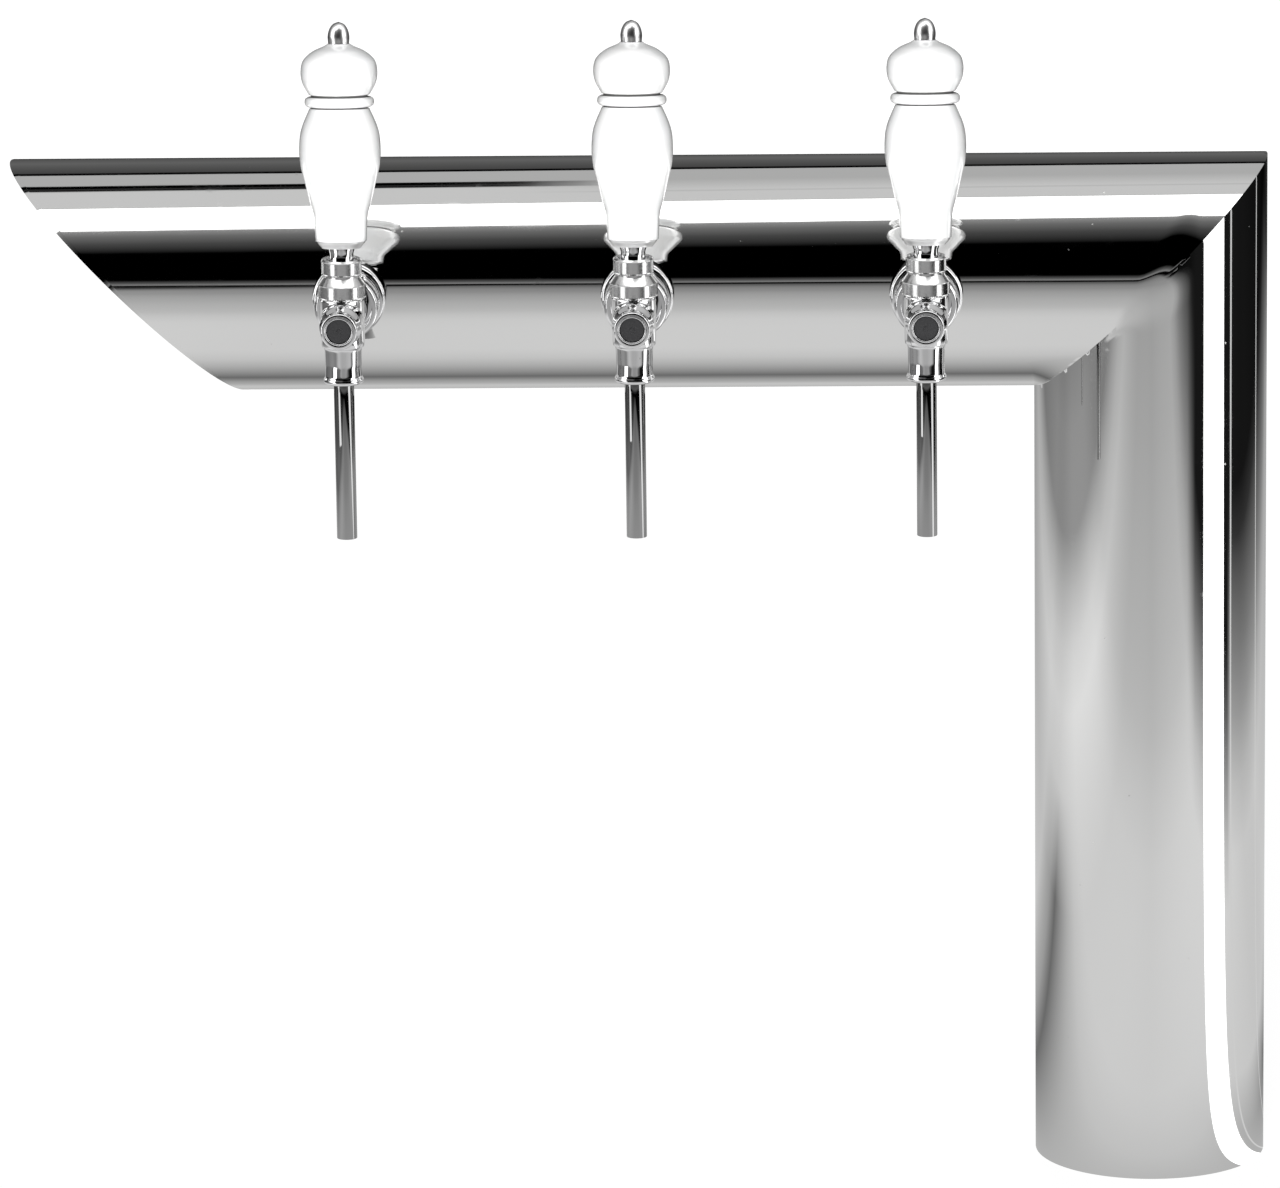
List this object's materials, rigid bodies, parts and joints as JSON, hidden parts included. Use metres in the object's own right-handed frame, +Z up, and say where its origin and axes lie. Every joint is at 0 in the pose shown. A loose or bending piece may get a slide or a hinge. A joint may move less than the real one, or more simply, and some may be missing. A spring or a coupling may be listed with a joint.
{
  "type": "beer tap tower",
  "caption": "L-shaped polished steel beer tower: upright column, level arm with a slanted end, and chromed lever taps with white porcelain handles.",
  "frame": {"origin": "the column's axis in the plane of the bar top", "axes": "+Z up; the arm runs towards -X; the taps stand out towards -Y"},
  "size_m": [0.6171, 0.1981, 0.5926],
  "materials": {
    "polished_steel": "mirror-polished stainless steel",
    "chrome": "bright chrome plate on brass",
    "porcelain": "white glazed porcelain",
    "button_plastic": "dark grey moulded plastic",
    "steel": "plain stainless steel",
    "brass": "turned brass",
    "rubber": "black rubber",
    "hose": "beer line, milky polyethylene",
    "union_plastic": "grey acetal"
  },
  "bodies": {
    "tower": {"column_tube": "polished_steel", "arm_tube": "polished_steel", "end_cover": "polished_steel", "end_cover_screws": "steel", "end_cover_lugs": "steel", "base_ring": "steel", "base_gasket": "rubber", "escutcheons": "chrome", "coupling_nuts": "chrome", "bonnet_nuts": "chrome", "ball_collars": "chrome", "front_bushes": "chrome", "button_springs": "steel", "coupling_washers": "rubber", "shanks": "brass", "inner_saddles": "steel", "lock_nuts": "steel", "tail_nuts": "brass", "tailpieces": "brass", "hose_clamps": "steel", "line_unions": "union_plastic", "tap_body_1": "chrome", "spout_1": "chrome", "beer_line_1": "hose", "tap_body_2": "chrome", "spout_2": "chrome", "beer_line_2": "hose", "tap_body_3": "chrome", "spout_3": "chrome", "beer_line_3": "hose"},
    "handle_1": {"lever_1": "chrome", "handle_ferrule_1": "chrome", "handle_grip_1": "porcelain", "handle_bead_1": "porcelain", "handle_knob_1": "porcelain", "handle_finial_1": "chrome"},
    "valve_1": {"valve_shaft_1": "brass", "valve_seal_1": "rubber"},
    "button_1": {"foam_button_1": "button_plastic"},
    "handle_2": {"lever_2": "chrome", "handle_ferrule_2": "chrome", "handle_grip_2": "porcelain", "handle_bead_2": "porcelain", "handle_knob_2": "porcelain", "handle_finial_2": "chrome"},
    "valve_2": {"valve_shaft_2": "brass", "valve_seal_2": "rubber"},
    "button_2": {"foam_button_2": "button_plastic"},
    "handle_3": {"lever_3": "chrome", "handle_ferrule_3": "chrome", "handle_grip_3": "porcelain", "handle_bead_3": "porcelain", "handle_knob_3": "porcelain", "handle_finial_3": "chrome"},
    "valve_3": {"valve_shaft_3": "brass", "valve_seal_3": "rubber"},
    "button_3": {"foam_button_3": "button_plastic"}
  },
  "joints": [
    {"name": "handle_1_tilt", "type": "hinge", "parent": "tower", "child": "handle_1", "pos_m": [-0.39, -0.112, 0.476], "axis": [1, 0, 0], "range_deg": [0, 20]},
    {"name": "valve_1_slide", "type": "slide", "parent": "tower", "child": "valve_1", "axis": [0, 1, 0], "range_m": [0, 0.0079]},
    {"name": "button_1_press", "type": "slide", "parent": "tower", "child": "button_1", "axis": [0, 1, 0], "range_m": [0, 0.0025], "stiffness_N_per_m": 400, "springref_m": -0.002, "deforming": ["button_springs"]},
    {"name": "handle_2_tilt", "type": "hinge", "parent": "tower", "child": "handle_2", "pos_m": [-0.25, -0.112, 0.476], "axis": [1, 0, 0], "range_deg": [0, 20]},
    {"name": "valve_2_slide", "type": "slide", "parent": "tower", "child": "valve_2", "axis": [0, 1, 0], "range_m": [0, 0.0079]},
    {"name": "button_2_press", "type": "slide", "parent": "tower", "child": "button_2", "axis": [0, 1, 0], "range_m": [0, 0.0025], "stiffness_N_per_m": 400, "springref_m": -0.002},
    {"name": "handle_3_tilt", "type": "hinge", "parent": "tower", "child": "handle_3", "pos_m": [-0.11, -0.112, 0.476], "axis": [1, 0, 0], "range_deg": [0, 20]},
    {"name": "valve_3_slide", "type": "slide", "parent": "tower", "child": "valve_3", "axis": [0, 1, 0], "range_m": [0, 0.0079]},
    {"name": "button_3_press", "type": "slide", "parent": "tower", "child": "button_3", "axis": [0, 1, 0], "range_m": [0, 0.0025], "stiffness_N_per_m": 400, "springref_m": -0.002}
  ],
  "couplings": [
    {"joint": "valve_1_slide", "follows": "handle_1_tilt", "m_per_rad": 0.02249},
    {"joint": "valve_2_slide", "follows": "handle_2_tilt", "m_per_rad": 0.02249},
    {"joint": "valve_3_slide", "follows": "handle_3_tilt", "m_per_rad": 0.02249}
  ]
}
